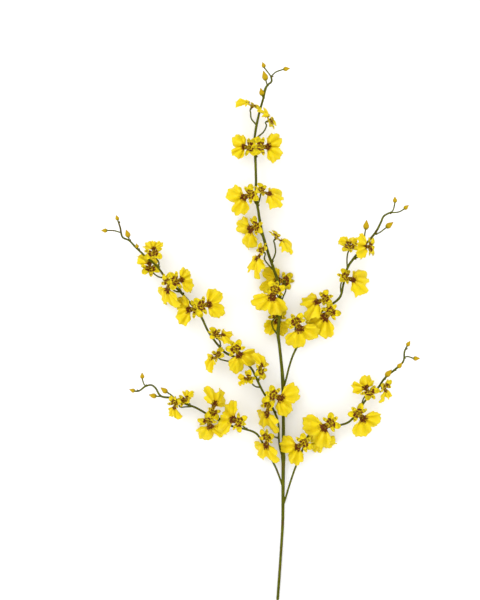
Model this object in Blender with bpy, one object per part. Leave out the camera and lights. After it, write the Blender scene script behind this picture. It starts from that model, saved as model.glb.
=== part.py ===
"""Cut oncidium orchid spray lying on a table: one arching main stem, four side branches and their blooms.

Places are given on a drawing grid of 1.3 mm: steps across to the right, steps down, and a height in millimetres
above the table. Each stem carries its flower stalks and buds, and each bloom is one piece with its two-lobed
waved lip, five tepals and the small column in its heart.
"""

import math

import bmesh
import bpy
import numpy as np
from mathutils import Matrix, Vector
from mathutils.bvhtree import BVHTree

# Drawing grid
STEP = 0.0013
ACROSS_ZERO = 260.0
DOWN_ZERO = 332.5
MM = 0.001

# Clearances between pieces
CLEAR = 0.0003
SEAT_GAP = 0.0004
TALLEST = 0.060
RESTS = 0.0

# Bloom proportions, in metres or as shares of the lip's length
LIP_THICK = 0.0008
LIP_SPREAD = 112.0
LIP_SAMPLES = 9
LIP_CENTRE = 0.42
LIP_DROOP = 0.16
WAVE_HEIGHT = 0.0022
HEART_RADIUS = 0.0031
HEART_HEIGHT = 0.0024
TEPAL_THICK = 0.0008
TEPALS = ((180, 11.8, 4.0), (127, 13.0, 6.0), (-127, 13.0, 6.0), (76, 11.4, 3.8), (-76, 11.4, 3.8))
STALK_RADIUS = 0.00075
BUD_SIDES = 5

# Reach of the lip's edge from its middle, as a share of its length, by angle from its axis
LIP_REACH = ((0, 0.47), (28, 0.60), (56, 0.67), (84, 0.62), (112, 0.44))

# Stems: across, down, height, radius in millimetres
MAIN_STEM = (
    (278, 603, 1.8, 1.75), (279.3, 585, 2.6, 1.75), (281.3, 555, 4.4, 1.75), (283, 525, 6.6, 1.9),
    (283.3, 495, 9.0, 2.1), (283.5, 466, 11.6, 2.3), (283.5, 458, 12.4, 2.75), (283.5, 450, 13.1, 2.1),
    (283.6, 425, 15.4, 1.85), (283.2, 395, 17.8, 1.8), (283, 383, 18.6, 2.2), (281.8, 367, 19.6, 1.75),
    (279.4, 345, 20.8, 1.65), (278, 333, 21.3, 1.9), (279.3, 320, 21.8, 1.6), (280.3, 304, 22.2, 1.6),
    (279.2, 287, 22.5, 1.7), (274.5, 271, 22.7, 1.5), (268.5, 254, 22.9, 1.45), (261.5, 230, 23.1, 1.6),
    (258.5, 212, 23.2, 1.4), (256, 196, 23.3, 1.35), (256, 178, 23.4, 1.3), (255.2, 155, 23.6, 1.4),
    (254.4, 142, 23.7, 1.2), (256, 128, 23.8, 1.35), (259.5, 112, 23.9, 1.15), (263.4, 98, 23.8, 1.15),
    (265, 90, 23.7, 1.4), (267.6, 85, 23.6, 1.0), (271.5, 81.5, 23.4, 0.95), (271, 76, 23.2, 0.85),
)
RIGHT_UPPER = (
    (285.75, 381, 19.0, 1.25), (289, 368, 20.2, 1.2), (292.4, 357, 21.2, 1.15), (297, 347, 21.8, 1.25),
    (304, 334, 20.6, 1.1), (312, 322, 19.8, 1.1), (320, 313, 20.2, 1.15), (331, 305, 22.4, 1.1),
    (340, 297, 24.2, 1.25), (343.2, 285, 25.0, 1.05), (347, 269, 25.4, 1.15), (353.6, 258.5, 25.4, 1.25),
    (365, 245, 24.8, 1.0), (375.5, 232.5, 24.0, 1.15), (380.6, 223, 23.6, 1.0), (384, 216, 23.2, 0.95),
    (391, 212.2, 22.8, 0.85),
)
RIGHT_LOWER = (
    (285.8, 499.5, 9.4, 1.25), (289.5, 487, 11.0, 1.2), (295, 470, 14.0, 1.15), (301, 455, 16.6, 1.1),
    (306.5, 440, 18.8, 1.2), (312, 433, 20.0, 1.1), (324, 428.3, 21.2, 1.05), (337, 425.8, 22.0, 1.1),
    (348, 422.6, 22.4, 1.1), (355, 415.5, 22.6, 1.05), (366, 400, 22.8, 1.1), (378, 388, 23.0, 1.15),
    (385, 378, 23.0, 1.0), (396, 368.8, 22.8, 1.1), (403.4, 361.5, 22.4, 0.9), (404.6, 352, 22.0, 0.85),
    (407, 346.5, 21.6, 0.8),
)
LEFT_UPPER = (
    (280.5, 450.5, 13.2, 1.25), (279.1, 440, 14.8, 1.2), (278.6, 425, 16.6, 1.2), (275, 413, 18.0, 1.25),
    (268.5, 401, 19.4, 1.15), (262, 390, 20.6, 1.15), (257, 379.5, 21.4, 1.2), (251, 368, 22.0, 1.1),
    (241, 360, 22.6, 1.15), (226, 353, 23.0, 1.15), (217.5, 344.5, 23.2, 1.1), (208, 331, 23.4, 1.05),
    (201, 316.5, 23.6, 1.15), (192, 305, 23.8, 1.05), (180, 291.5, 24.0, 1.1), (167, 279.5, 24.0, 1.1),
    (157, 266.5, 24.0, 1.05), (145, 256, 23.8, 0.95), (135.5, 247, 23.4, 0.95), (129, 240.4, 23.0, 0.85),
    (122.4, 237, 22.6, 0.9), (120.2, 228, 22.2, 0.8), (118, 221, 21.8, 0.75),
)
LEFT_LOWER = (
    (280.75, 481, 10.2, 1.2), (275, 466.5, 12.2, 1.15), (265.5, 449, 14.6, 1.15), (257, 434.6, 16.6, 1.15),
    (245, 429.5, 17.8, 1.05), (232, 426.5, 18.6, 1.05), (220, 421.2, 19.2, 1.1), (209, 415.5, 19.6, 1.05),
    (196, 408, 20.0, 1.05), (185, 404, 20.2, 1.0), (173, 398.4, 20.2, 1.0), (161, 396.4, 20.0, 1.0),
    (155.6, 388.5, 19.8, 0.85), (151, 385.2, 19.6, 0.85), (145, 386.7, 19.4, 0.85), (139, 391, 19.2, 0.75),
    (134.6, 391.4, 19.0, 0.7),
)

# Buds by stem: tip, base, then the thin stalk back to the stem, each across, down and height
BUDS = {
    "main_stem": (
        ((262.5, 62, 24), (264.3, 68, 24), (270, 75, 23.6), (271, 77.5, 23.3)),
        ((290, 68.5, 25), (283, 69.4, 24.6), (276, 72, 24), (271.6, 76, 23.4)),
        ((263.3, 71, 27), (266, 81, 25), (267.4, 86, 23.7)),
        ((260.6, 88, 25), (262.2, 96, 24.4), (263.6, 98.5, 23.9)),
    ),
    "right_upper_branch": (
        ((394.8, 196.5, 24), (395, 203, 23.6), (393.4, 209.5, 23), (391, 212.4, 22.8)),
        ((409, 205, 22), (404, 209.2, 22.2), (398.5, 212, 22.4), (390, 212.6, 22.8)),
        ((393.5, 222, 22), (386, 227.8, 22.6), (379.5, 232.6, 23.4), (375.5, 233.6, 24)),
        ((366.5, 220, 27), (365.5, 230, 26), (364.6, 236, 25.4), (366, 244, 24.8)),
    ),
    "right_lower_branch": (
        ((410.4, 341, 22), (407, 346.4, 21.7), (406, 349, 21.9)),
        ((420, 358.5, 23), (413, 358.4, 22.8), (408, 356.6, 22.4), (404.3, 357.5, 22.2)),
        ((402.4, 362.6, 24.6), (397.6, 368, 23.2), (394.6, 370, 22.8)),
        ((391.6, 369.6, 25), (385.6, 376.8, 23.6), (384, 379.2, 23)),
    ),
    "left_upper_branch": (
        ((116, 215, 22), (117.8, 220.4, 21.8), (118.6, 223, 21.9)),
        ((101, 230.5, 21), (107.4, 230.4, 21.4), (114, 230.6, 21.8), (120.8, 232.6, 22.3)),
        ((126, 229.6, 24), (128.8, 237.6, 23.4), (129.4, 241, 23)),
        ((136.2, 243.6, 25.6), (137.6, 248, 24), (138.4, 250, 23.6)),
    ),
    "left_lower_branch": (
        ((129, 389.6, 19), (135, 391.4, 19), (138, 391.3, 19.1)),
        ((142, 372.6, 21), (142, 379, 20.4), (143.6, 384, 19.8), (146, 386.5, 19.4)),
        ((148.6, 395, 19.4), (156.6, 396.6, 19.8), (161, 396.6, 20)),
        ((160.6, 387.6, 23), (167.4, 392.6, 21.8), (171.6, 395.6, 20.8), (175, 399, 20.2)),
    ),
}

# Blooms by stem: name, heart across, down and height, lip heading, pitch and roll in degrees, lip length in
# steps, how far open it is, then the stalk's way back to its stem. A bloom that rests lies on the table.
BLOOMS = {
    "main_stem": (
        ("bloom_main_1", 252, 107, 30, 152, 4, 72, 17, 1.0, ((250.6, 113), (251.4, 119), (256.6, 125))),
        ("bloom_main_2", 269, 121, 29, 114, 0, 68, 15, 1.0, ((266.4, 126), (263, 132.6), (255.4, 138.6))),
        ("bloom_main_3", 249.6, 148, 31, 176, 8, 8, 19, 1.0, ((253, 151), (255.2, 155))),
        ("bloom_main_4", 261.4, 147.4, 32, -2, 8, -6, 22, 1.0, ((258.6, 152), (255.4, 157))),
        ("bloom_main_5", 250, 195, 31, 204, 10, 6, 24, 1.0, ((253.6, 199.6), (256.2, 204))),
        ("bloom_main_6", 262, 192, 31, -22, 6, -52, 24, 1.0, ((260, 198), (257.4, 206))),
        ("bloom_main_7", 256, 226, RESTS, 208, 36, 8, 26, 1.0, ((259.4, 231.4), (262.8, 236))),
        ("bloom_main_8", 276, 238, 30, -34, 4, -72, 22, 1.0, ((274.6, 244), (275.4, 253), (271.6, 262))),
        ("bloom_main_9", 262, 252, 33, 238, 6, 62, 26, 1.0, ((264.4, 259), (268.6, 265), (274.2, 270.6))),
        ("bloom_main_10", 285, 281, RESTS, 172, 4, 160, 24, 1.0, ((286, 290), (283.6, 296), (280.6, 304))),
        ("bloom_main_11", 274.6, 290, 33, 250, 10, -8, 27, 1.0, ((278.4, 298), (280.4, 306))),
        ("bloom_main_12", 277.4, 316, 13, 266, -4, 176, 20, 1.0, ((272, 322), (273.6, 329), (278, 335))),
    ),
    "right_upper_branch": (
        ("bloom_right_upper_1", 296, 322, 32, 298, 12, 6, 27, 1.0, ((295, 330), (294.6, 338), (297, 347))),
        ("bloom_right_upper_2", 330, 312, 32, 226, 8, 6, 27, 1.0, ((325, 313), (318.4, 315))),
        ("bloom_right_upper_3", 324, 299.6, 27, 200, 6, 38, 25, 1.0, ((327, 304), (330.6, 305.6))),
        ("bloom_right_upper_4", 368, 247, 31, 176, -58, 4, 20, 1.0, ((365, 253), (360, 256.6), (354, 258.4))),
        ("bloom_right_upper_5", 349, 247, 34, 98, 38, 6, 15, 1.0, ((347.4, 254), (346.8, 261), (347.4, 268))),
        ("bloom_right_upper_6", 345.6, 278, 33, -16, 6, -40, 25, 1.0, ((341.4, 282), (340.4, 288), (341.4, 293))),
    ),
    "right_lower_branch": (
        ("bloom_right_lower_1", 384, 386, 30, 284, 12, -40, 15, 0.5, ((382, 391), (378, 392), (374, 392.2))),
        ("bloom_right_lower_2", 368.6, 392, 32, 130, 22, 20, 19, 1.0, ((365, 396), (362.6, 401), (362, 406))),
        ("bloom_right_lower_3", 358, 413, 32, 312, 10, 4, 25, 1.0, ((355, 416), (352, 419))),
        ("bloom_right_lower_4", 330, 422.6, 32, 216, 8, 4, 28, 1.0, ((334, 425), (338, 425.8))),
        ("bloom_right_lower_5", 318.6, 437, RESTS, 296, 30, 8, 21, 1.0, ((316, 434), (315.4, 431.6))),
        ("bloom_right_lower_6", 303, 443, 30, 214, 12, 4, 24, 1.0, ((304.4, 447), (303.8, 447.4))),
    ),
    "left_upper_branch": (
        ("bloom_left_upper_1", 154, 253, 32, 92, 24, -6, 15, 1.0, ((156, 258), (159, 263), (158, 268))),
        ("bloom_left_upper_2", 150, 268, 31, 100, 20, 12, 17, 1.0, ((153, 273), (159, 277), (165, 277.6))),
        ("bloom_left_upper_3", 169, 283, 16, 264, 16, 48, 26, 1.0, ((171.6, 288), (176, 291.4), (180, 291.6))),
        ("bloom_left_upper_4", 176.6, 281, 33, 10, 20, -8, 19, 1.0, ((178.6, 287), (183, 294.6))),
        ("bloom_left_upper_5", 195.6, 309, 14, 186, 10, 6, 22, 1.0, ((198, 312), (200.6, 315.8))),
        ("bloom_left_upper_6", 202.4, 305.6, 32, 10, 8, 0, 23, 1.0, ((202, 311), (200.2, 315))),
        ("bloom_left_upper_7", 217, 335, 32, -6, 8, -52, 18, 1.0, ((219, 339.6), (220.4, 344), (219, 346.4))),
        ("bloom_left_upper_8", 217.6, 356, 31, 212, 10, 56, 17, 1.0, ((223, 360), (231, 361.4), (240, 359.6))),
        ("bloom_left_upper_9", 236, 349, 33, 300, 10, -4, 24, 1.0, ((240, 353.6), (243.4, 357.6), (245.6, 363.4))),
        ("bloom_left_upper_10", 260, 370, 30, 78, 14, 50, 17, 1.0, ((260, 376), (257.6, 380.6))),
        ("bloom_left_upper_11", 248.6, 378, 29, 190, 10, 20, 11, 0.5, ((251.4, 383), (255.6, 386.6), (260.6, 387.4))),
        ("bloom_left_upper_12", 273.6, 395, 31, 336, 8, 0, 26, 1.0, ((271, 399.6), (269, 402))),
        ("bloom_left_upper_13", 268.6, 406, 30, 262, 12, 50, 27, 1.0, ((272.6, 409), (275.4, 413.8))),
        ("bloom_left_upper_14", 267.4, 438, 26, 264, 14, 42, 26, 1.0, ((273.6, 437), (279, 439))),
    ),
    "left_lower_branch": (
        ("bloom_left_lower_1", 239, 421, 29, 158, 34, 0, 27, 1.0, ((242.4, 425), (246.4, 429.8))),
        ("bloom_left_lower_2", 212.4, 411, 30, 76, 8, 44, 25, 1.0, ((215, 414), (219, 418), (223, 422.6))),
        ("bloom_left_lower_3", 208, 421, RESTS, 290, 26, 14, 24, 1.0, ((210, 418.6), (211.6, 417))),
        ("bloom_left_lower_4", 186, 400, 28, 70, 20, -30, 11, 0.5, ((187, 403), (189.6, 405.6))),
        ("bloom_left_lower_5", 175.6, 403, 27, 258, 10, 40, 16, 0.5, ((180, 407), (186, 407), (192, 406.6))),
    ),
}

STEMS = {
    "main_stem": MAIN_STEM,
    "right_upper_branch": RIGHT_UPPER,
    "right_lower_branch": RIGHT_LOWER,
    "left_upper_branch": LEFT_UPPER,
    "left_lower_branch": LEFT_LOWER,
}

YELLOW = (0.86, 0.66, 0.02, 1.0)
OLIVE = (0.13, 0.15, 0.02, 1.0)


def clear_scene():
    for obj in list(bpy.data.objects):
        bpy.data.objects.remove(obj, do_unlink=True)


def place(across, down, height):
    """A spot on the drawing grid, in metres."""
    return Vector(((across - ACROSS_ZERO) * STEP, (DOWN_ZERO - down) * STEP, height * MM))


def tube(points, radii, sides):
    """A closed round tube through the points, as vertices and faces."""
    points = [Vector(p) for p in points]
    across = None
    verts, faces = [], []
    for i, point in enumerate(points):
        ahead = points[min(i + 1, len(points) - 1)] - points[max(i - 1, 0)]
        ahead.normalize()
        if across is None:
            across = ahead.orthogonal()
        across = (across - ahead * across.dot(ahead)).normalized()
        other = ahead.cross(across)
        for k in range(sides):
            turn = 2 * math.pi * k / sides
            verts.append(point + (across * math.cos(turn) + other * math.sin(turn)) * radii[i])
    for i in range(len(points) - 1):
        for k in range(sides):
            a, b = i * sides + k, i * sides + (k + 1) % sides
            faces.append((a, b, b + sides, a + sides))
    last = (len(points) - 1) * sides
    faces.append(tuple(range(sides))[::-1])
    faces.append(tuple(range(last, last + sides)))
    return verts, faces


def bud(tip, base):
    """A plump pointed bud from its base to its tip."""
    tip, base = Vector(tip), Vector(base)
    length = (tip - base).length
    stations = (-0.08, 0.30, 0.68, 1.0)
    shares = (0.09, 0.21, 0.17, 0.035)
    points = [base.lerp(tip, s) for s in stations]
    return tube(points, [share * length for share in shares], BUD_SIDES)


def lip_reach(angle, length):
    """Distance of the lip's edge from its middle at this angle from its axis."""
    angles, shares = zip(*LIP_REACH)
    return float(np.interp(abs(angle), angles, shares)) * length


def lip(length, opened, phase):
    """The two-lobed waved lip, a thin closed sheet from the heart outwards along +x, facing +z."""
    spread = LIP_SPREAD * (0.45 + 0.55 * opened)
    rows = []
    for row, share in enumerate((0.0, 0.0, 0.52, 1.0)):
        line = []
        for k in range(LIP_SAMPLES):
            t = 2 * k / (LIP_SAMPLES - 1) - 1
            if row < 2:
                x, half = ((0.02, 0.075), (0.24, 0.10))[row]
                line.append(Vector((x * length, half * length * t, 0.0)))
                continue
            angle = t * spread
            reach = lip_reach(t * LIP_SPREAD, length) * share
            turn = math.radians(angle)
            spot = Vector((LIP_CENTRE * length + reach * math.cos(turn), reach * math.sin(turn), 0))
            away = spot.length / length
            spot.z = -LIP_DROOP * length * away * away * share
            spot.z += WAVE_HEIGHT * opened * share * math.sin(3.6 * turn + phase)
            line.append(spot)
        rows.append(line)
    return sheet(rows, LIP_THICK)


def sheet(rows, thick):
    """A closed sheet of even thickness over a grid of points, split into like triangles on both faces."""
    down, wide = len(rows), len(rows[0])
    lift = Vector((0, 0, thick / 2))
    flat = [spot for line in rows for spot in line]
    verts = [spot + lift for spot in flat] + [spot - lift for spot in flat]
    under = len(flat)
    faces = []
    for i in range(down - 1):
        for k in range(wide - 1):
            a, b = i * wide + k, i * wide + k + 1
            c, d = b + wide, a + wide
            for tri in ((a, c, b), (a, d, c)):
                faces.append(tri)
                faces.append(tuple(under + v for v in reversed(tri)))
    rim = [k for k in range(wide)] + [i * wide + wide - 1 for i in range(1, down)]
    rim += [(down - 1) * wide + k for k in range(wide - 2, -1, -1)]
    rim += [i * wide for i in range(down - 2, 0, -1)]
    for a, b in zip(rim, rim[1:] + rim[:1]):
        faces.append((a, b, under + b))
        faces.append((a, under + b, under + a))
    return verts, faces


def tepal(heading, length, width, rise):
    """One narrow pointed tepal, flat in section, starting inside the heart."""
    turn = math.radians(heading)
    out, side = Vector((math.cos(turn), math.sin(turn), 0)), Vector((-math.sin(turn), math.cos(turn), 0))
    up = Vector((0, 0, 1))
    verts, faces = [], []
    for share, wide, lift in ((0.10, 0.45, 0.0), (0.62, 1.0, 0.55)):
        mid = out * (share * length) + up * (lift * rise - 0.0004)
        for y, z in ((0.5, 0.5), (-0.5, 0.5), (-0.5, -0.5), (0.5, -0.5)):
            verts.append(mid + side * (y * wide * width) + up * (z * TEPAL_THICK))
    tip = out * length + up * (0.75 * rise - 0.0004)
    verts += [tip + up * (TEPAL_THICK / 2), tip - up * (TEPAL_THICK / 2)]
    faces.append((0, 1, 2, 3))
    for k in range(4):
        a, b = k, (k + 1) % 4
        faces += [(a, a + 4, b + 4), (a, b + 4, b)]
    faces += [(4, 8, 5), (6, 9, 7), (5, 8, 9), (5, 9, 6), (7, 9, 8), (7, 8, 4)]
    return verts, faces


def heart():
    """The small domed column and callus that every blade of the bloom grows from."""
    radius, high = HEART_RADIUS, HEART_HEIGHT
    points = [Vector((0.0, 0, z * high)) for z in (-1.0, 0.1, 1.0)]
    return tube(points, [radius * share for share in (0.55, 1.0, 0.45)], 5)


def bloom_pieces(length, opened, phase):
    """Loose pieces of one bloom about its heart, the lip first."""
    scale = 0.72 + 0.28 * opened
    pieces = [lip(length, opened, phase), heart()]
    for number, (heading, long, wide) in enumerate(TEPALS):
        turned = heading * (0.86 + 0.14 * opened)
        sway = 5 * math.sin(phase + 1.7 * number)
        rise = (0.0022 + 0.0016 * math.cos(phase + number)) * (1 if opened > 0.8 else 2.4)
        pieces.append(tepal(turned + sway, long * scale * MM, wide * scale * MM, rise))
    return pieces


def turning(heading, pitch, roll):
    """Turns the bloom's own axes: lip along +x, face along +z."""
    about_z = Matrix.Rotation(math.radians(heading), 4, "Z")
    about_y = Matrix.Rotation(math.radians(pitch), 4, "Y")
    return about_z @ about_y @ Matrix.Rotation(math.radians(roll), 4, "X")


def moved(piece, matrix):
    verts, faces = piece
    return [matrix @ v for v in verts], faces


def outward(piece):
    """The piece with its faces turned outwards, as a bmesh."""
    verts, faces = piece
    mesh = bmesh.new()
    made = [mesh.verts.new(v) for v in verts]
    for face in faces:
        mesh.faces.new([made[i] for i in face])
    bmesh.ops.recalc_face_normals(mesh, faces=mesh.faces)
    bmesh.ops.triangulate(mesh, faces=[f for f in mesh.faces if len(f.verts) > 4])
    return mesh


def tree_of(pieces):
    """Search tree and points of a group of loose pieces."""
    verts, faces = [], []
    for points, polygons in pieces:
        start = len(verts)
        verts += points
        faces += [tuple(start + i for i in face) for face in polygons]
    return BVHTree.FromPolygons(verts, faces), verts


def box_of(points):
    flat = np.array(points)
    return flat.min(axis=0), flat.max(axis=0)


def clashes(thing, others):
    """Whether this search tree crosses or comes too near any of the others."""
    tree, points = thing
    low, high = box_of(points)
    for other, spots in others:
        least, most = box_of(spots)
        if (least > high + CLEAR).any() or (most < low - CLEAR).any():
            continue
        if tree.overlap(other):
            return True
        if any(other.find_nearest(p, CLEAR)[0] for p in points):
            return True
        if any(tree.find_nearest(p, CLEAR)[0] for p in spots):
            return True
    return False


def stalk(seat, facing, way, stem_height):
    """The thin stalk from a stem to just behind a heart."""
    end = seat - facing * (HEART_HEIGHT + SEAT_GAP)
    before = end - facing * 0.0028
    points = [end, before]
    count = len(way)
    for number, (across, down) in enumerate(way):
        share = (number + 1) / count
        height = before.z / MM * (1 - share) + stem_height * share
        points.append(place(across, down, height))
    radii = [STALK_RADIUS * 1.15] + [STALK_RADIUS] * (len(points) - 1)
    return tube(points, radii, 4)


def stem_height_at(route, across, down):
    """Height of a stem's axis nearest to this place on the grid."""
    best = None
    for (a, b) in zip(route, route[1:]):
        start, run = Vector(a[:2]), Vector(b[:2]) - Vector(a[:2])
        share = max(0.0, min(1.0, (Vector((across, down)) - start).dot(run) / run.length_squared))
        gap = (start + run * share - Vector((across, down))).length
        height = a[2] + (b[2] - a[2]) * share
        if best is None or gap < best[0]:
            best = (gap, height)
    return best[1]


def tries(height, pitch):
    """Heights and pitches to try for a bloom, nearest to the wished ones first."""
    yield height, pitch
    for move in range(1, 14):
        for sign in (1, -1):
            if height == RESTS:
                yield height, pitch + 2.0 * move * sign
            else:
                yield height + 1.5 * move * sign, pitch


def settle(spec, route, stem_name, placed):
    """Finds the height at which a bloom and its stalk are clear of all that is placed already."""
    name, across, down, height, heading, pitch, roll, steps, opened, way = spec
    phase = 0.9 * (across % 7) + 0.37 * (down % 5)
    own = bloom_pieces(steps * STEP, opened, phase)
    for tried, pitched in tries(height, pitch):
        turn = turning(heading, pitched, roll)
        facing = turn @ Vector((0, 0, 1))
        if height == RESTS:
            tried = -min((turn @ v).z for piece in own for v in piece[0]) / MM
        seat = place(across, down, tried)
        there = Matrix.Translation(seat) @ turn
        pieces = [moved(piece, there) for piece in own]
        bloom = tree_of(pieces)
        low, high = box_of(bloom[1])
        if low[2] < -1e-6 or high[2] > TALLEST:
            continue
        stalk_piece = stalk(seat, facing, way, stem_height_at(route, *way[-1]))
        thin = tree_of([stalk_piece])
        if clashes(bloom, [t for _, t in placed]) or clashes(bloom, [thin]):
            continue
        if clashes(thin, [t for owner, t in placed if owner != stem_name]):
            continue
        return pieces, stalk_piece, bloom, thin
    return None


def principled(name, colour, roughness):
    material = bpy.data.materials.new(name)
    material.use_nodes = True
    shader = material.node_tree.nodes["Principled BSDF"]
    shader.inputs["Base Color"].default_value = colour
    shader.inputs["Roughness"].default_value = roughness
    material.diffuse_color = colour
    return material


def as_object(name, piece):
    mesh = bpy.data.meshes.new(name)
    shape = outward(piece)
    shape.to_mesh(mesh)
    shape.free()
    return bpy.data.objects.new(name, mesh)


def union(name, pieces, material):
    """Joins a node's pieces into one closed solid."""
    group = bpy.data.collections.new(name + "_repeats")
    bpy.context.scene.collection.children.link(group)
    body = as_object(name, pieces[0])
    bpy.context.scene.collection.objects.link(body)
    for number, piece in enumerate(pieces[1:]):
        group.objects.link(as_object(f"{name}_repeat_{number}", piece))
    join = body.modifiers.new("Join repeats", "BOOLEAN")
    join.operation = "UNION"
    join.operand_type = "COLLECTION"
    join.collection = group
    join.solver = "MANIFOLD"
    bpy.context.view_layer.update()
    graph = bpy.context.evaluated_depsgraph_get()
    joined = bpy.data.meshes.new_from_object(body.evaluated_get(graph))
    body.modifiers.clear()
    body.data = joined
    joined.name = name
    for obj in list(group.objects):
        bpy.data.objects.remove(obj, do_unlink=True)
    bpy.data.collections.remove(group)
    joined.materials.clear()
    joined.materials.append(material)
    return body


def stem_pieces(name):
    """The stem itself and its buds on their stalks."""
    route = STEMS[name]
    points = [place(*spot[:3]) for spot in route]
    sides = 6 if name == "main_stem" else 5
    pieces = [tube(points, [spot[3] * MM for spot in route], sides)]
    for tip, base, *way in BUDS[name]:
        pieces.append(bud(place(*tip), place(*base)))
        line = [place(*tip).lerp(place(*base), 0.9)] + [place(*spot) for spot in way]
        pieces.append(tube(line, [STALK_RADIUS * 0.9] * len(line), 4))
    return pieces


def main():
    clear_scene()
    stems = {name: stem_pieces(name) for name in STEMS}
    placed = [(name, tree_of(pieces)) for name, pieces in stems.items()]
    blooms = []
    for name, specs in BLOOMS.items():
        for spec in specs:
            found = settle(spec, STEMS[name], name, placed)
            if found is None:
                raise ValueError(f"{spec[0]} finds no clear place")
            pieces, thin_piece, bloom, thin = found
            placed += [(spec[0], bloom), (name, thin)]
            stems[name].append(thin_piece)
            blooms.append((spec[0], pieces))
    for name, pieces in stems.items():
        union(name, pieces, principled(name + "_green", OLIVE, 0.55))
    for name, pieces in blooms:
        union(name, pieces, principled(name + "_yellow", YELLOW, 0.5))


main()
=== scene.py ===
"""Looks of a cut oncidium orchid spray on a table: ruffled two-lobed lips, barred tepals, stems and buds."""

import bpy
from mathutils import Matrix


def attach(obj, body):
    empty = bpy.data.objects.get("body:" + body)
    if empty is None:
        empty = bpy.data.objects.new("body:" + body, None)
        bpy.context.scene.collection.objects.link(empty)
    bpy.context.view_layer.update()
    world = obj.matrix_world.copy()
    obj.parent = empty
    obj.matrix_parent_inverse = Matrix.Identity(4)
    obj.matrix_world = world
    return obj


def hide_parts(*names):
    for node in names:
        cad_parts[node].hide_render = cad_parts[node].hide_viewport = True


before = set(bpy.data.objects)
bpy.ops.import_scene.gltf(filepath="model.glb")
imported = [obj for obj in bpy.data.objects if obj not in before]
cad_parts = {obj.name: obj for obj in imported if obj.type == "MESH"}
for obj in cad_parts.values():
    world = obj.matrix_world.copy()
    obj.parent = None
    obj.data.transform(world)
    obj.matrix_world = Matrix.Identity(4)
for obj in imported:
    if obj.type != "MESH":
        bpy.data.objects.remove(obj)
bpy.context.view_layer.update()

import math
from collections import namedtuple

import bpy
import numpy as np
from bpy.props import FloatProperty, FloatVectorProperty, IntProperty, PointerProperty
from mathutils import Matrix, Vector

bl_info = {
    "name": "Oncidium orchid spray",
    "version": (1, 0, 0),
    "blender": (4, 5, 0),
    "location": "3D View > Sidebar > Orchid",
    "description": "Makes the blooms, stems and buds of a cut oncidium spray and a pale stage for it",
    "category": "Object",
}

# Drawing grid: the length of one step in metres, and the step at the part's origin
STEP = 0.0013
ACROSS_ZERO = 260.0
DOWN_ZERO = 332.5
MM = 0.001

# The picture: its height in steps, and the place under the camera
PICTURE_TALL = 600
PICTURE_MIDDLE = (240, 300, 24)
SENSOR_WIDTH = 36.0

# What a closed bloom has of an open one's lip spread, tepal size and tepal headings
CLOSED_SPREAD, CLOSED_SCALE, CLOSED_HEADING = 0.45, 0.72, 0.86

# Lip: shares of its length, angles in degrees
LIP_SPREAD = 112.0
LIP_CENTRE = 0.42
LIP_NECK = (0.24, 0.125)
LIP_ROOT = (0.02, 0.075)
LIP_DROOP = 0.16
LIP_REACH = ((0, 0.34), (9, 0.43), (24, 0.61), (54, 0.70), (86, 0.65), (112, 0.45))
NECK_ROWS = 0.22
# Waves round the lip's edge: share of the reach, how often, and how many phases they are shifted
LOBES = ((0.05, 5.1, 1),)
SCALLOPS = ((0.042, 13, 2), (0.026, 24, -1))
UNEVEN_LOBES = 0.08
# Waves, folds and swell of the lip's sheet: height in metres, and how often they come round
WAVE_HEIGHT, WAVES = 0.0022, 3.6
FOLD_HEIGHT, FOLDS = 0.0014, 7.4
SWELL_HEIGHT = 0.0018
DENT_DEPTH, DENT_SCALE = 0.0030, 210.0

# Heart, in metres; callus bumps: place along and beside the lip's axis as shares of its length, and radius
HEART_HEIGHT, HEART_RADIUS, HEART_FLATNESS = 0.0024, 0.0026, 0.85
COLUMN_LENGTH, COLUMN_RADIUS, COLUMN_LIFT = 0.0046, 0.0014, 0.0012
COLUMN_STRETCH, COLUMN_LEAN, COLUMN_FLARE = 400.0, 0.35, 1.45
BUMP_LIFT = 0.0005
CALLUS = (
    (0.13, 0.0, 0.0013), (0.19, 0.045, 0.0010), (0.19, -0.045, 0.0010),
    (0.25, 0.03, 0.0008), (0.25, -0.03, 0.0008), (0.28, 0.0, 0.0007),
)

# Tepals: heading, length and width in millimetres, and whether it is a sepal
TEPALS = (
    (180, 12.6, 5.6, 1.0), (127, 14.0, 8.8, 0.0), (-127, 14.0, 8.8, 0.0),
    (76, 12.2, 5.0, 1.0), (-76, 12.2, 5.0, 1.0),
)
# Sway in degrees, and how far a tepal's end rises in metres
TEPAL_SWAY, TEPAL_RISE, RISE_CHANGE = 5, 0.0022, 0.0016
# A blade's round end (middle, half length, roundness), its neck and its bends, as shares of its size
BLADE_END = (0.56, 0.45, 2.2)
BLADE_NECK, BLADE_LEAST = 0.42, 0.06
BLADE_BEND, BLADE_WAVE, BLADE_DEPTH = 0.9, 0.14, 0.16

# Stalks, buds and bracts, in metres or as shares of their radius or length
STALK_RADIUS, AT_HEART, AT_ROOT, AT_BUD = 0.00098, 1.5, 1.3, 0.9
STALK_IN_HEART, STALK_IN_BUD, STALK_STRAIGHT = 0.0009, 0.92, 0.0028
SEAT_GAP = 0.0004
BUD_GIRTH, BUD_LEAST = 0.24, 0.0011
BUD_BRACT, BLOOM_BRACT = 0.0032, 0.0042
BRACT_GIRTH = (0.0010, 0.0008)
BRACT_ASIDE, BRACT_BACK, BRACT_LEAN = 0.0009, 0.0006, 0.35
ROD_STEP = 0.0014
MERGE_GAP = 0.000002

# How softly a low petal bends up from the table, in metres
TABLE_EASE = 0.0012

# Places on the lip: middle on its axis, length and width of an oval, as shares of its length
OLIVE_OVAL = (0.25, 0.24, 0.24)
BLOTCH_OVAL = (0.28, 0.125, 0.14)
VEINS = 46.0
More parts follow.
